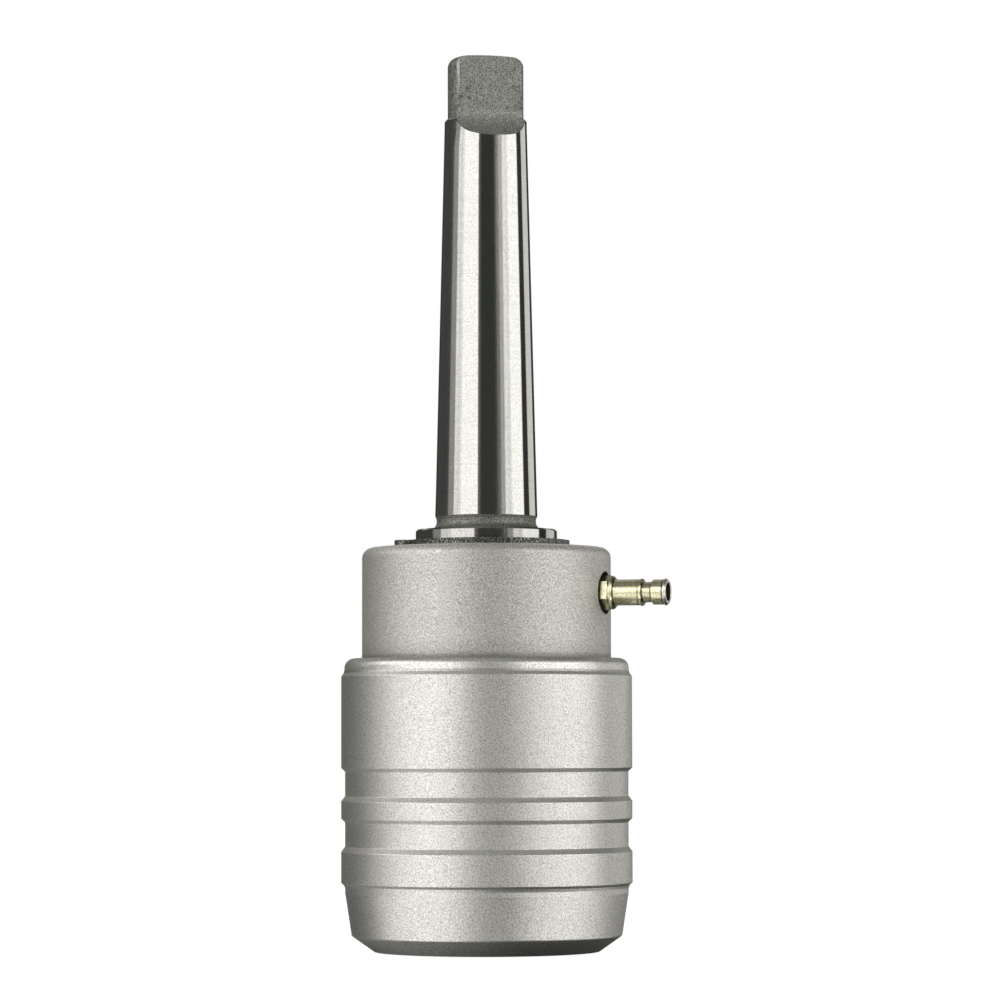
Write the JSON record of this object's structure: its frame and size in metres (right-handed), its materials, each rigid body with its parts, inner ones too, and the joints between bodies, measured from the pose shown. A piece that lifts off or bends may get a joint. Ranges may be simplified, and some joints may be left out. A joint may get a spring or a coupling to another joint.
{
  "type": "annular cutter arbor",
  "caption": "Quick-change arbor with Morse taper shank, swivelling coolant ring with side nipple, and a spring-loaded ribbed sleeve that slides up to release a Weldon-shank annular cutter.",
  "frame": {"origin": "centre of the cutter bore's mouth, in the plane of the arbor's nose, the lowest point", "axes": "+Z along the spindle axis towards the tang; +X along the coolant nipple"},
  "size_m": [0.0591, 0.0514, 0.1587],
  "materials": {
    "ground_steel": "ground and polished, tang left matte",
    "black_spring_steel": "phosphated spring steel",
    "spring_wire": "drawn spring wire",
    "bearing_steel": "ground bearing steel",
    "blasted_aluminium": "bead-blasted, matte",
    "blasted_steel": "bead-blasted, satin plated",
    "bronze": "machined",
    "nickel_brass": "pale plated brass",
    "seal_rubber": "matte rubber",
    "cage_nylon": "moulded nylon"
  },
  "bodies": {
    "arbor": {"arbor_shank": "ground_steel", "journal_circlip": "black_spring_steel", "thrust_shim": "ground_steel", "nose_snap_ring": "black_spring_steel", "guide_pin": "ground_steel", "sleeve_spring": "spring_wire", "plunger_circlip": "black_spring_steel", "plunger_spring": "spring_wire", "bearing_inner_race": "bearing_steel"},
    "coolant_ring": {"coolant_housing": "blasted_aluminium", "upper_bush": "bronze", "upper_shaft_seal": "seal_rubber", "lower_shaft_seal": "seal_rubber", "bearing_outer_race": "bearing_steel", "bearing_seals": "seal_rubber", "housing_circlip": "black_spring_steel", "coolant_nipple": "nickel_brass", "nipple_seal_ring": "seal_rubber"},
    "ball_set": {"bearing_balls": "bearing_steel", "bearing_cage": "cage_nylon"},
    "sleeve": {"release_sleeve": "blasted_steel"},
    "pin_a": {"locking_pin_a": "ground_steel"},
    "pin_b": {"locking_pin_b": "ground_steel"},
    "plunger": {"valve_plunger": "bronze", "plunger_o_ring": "seal_rubber"}
  },
  "joints": [
    {"name": "ring_swivel", "type": "hinge", "parent": "arbor", "child": "coolant_ring", "pos_m": [0, 0, 0.063], "axis": [0, 0, 1], "continuous": true},
    {"name": "ball_set_spin", "type": "hinge", "parent": "arbor", "child": "ball_set", "pos_m": [0, 0, 0.0529], "axis": [0, 0, 1], "continuous": true},
    {"name": "sleeve_slide", "type": "slide", "parent": "arbor", "child": "sleeve", "axis": [0, 0, 1], "range_m": [0, 0.0065], "stiffness_N_per_m": 2100, "springref_m": -0.016, "deforming": ["sleeve_spring"]},
    {"name": "pin_a_slide", "type": "slide", "parent": "arbor", "child": "pin_a", "axis": [1, 0, 0], "range_m": [0, 0.0019]},
    {"name": "pin_b_slide", "type": "slide", "parent": "arbor", "child": "pin_b", "axis": [0, 1, 0], "range_m": [0, 0.0019]},
    {"name": "plunger_slide", "type": "slide", "parent": "arbor", "child": "plunger", "axis": [0, 0, 1], "range_m": [0, 0.008], "stiffness_N_per_m": 2000, "springref_m": -0.003, "deforming": ["plunger_spring"]}
  ],
  "couplings": [
    {"joint": "ball_set_spin", "follows": "ring_swivel", "ratio": 0.55645},
    {"joint": "pin_a_slide", "follows": "sleeve_slide", "ratio": 0.28},
    {"joint": "pin_b_slide", "follows": "sleeve_slide", "ratio": 0.28}
  ]
}
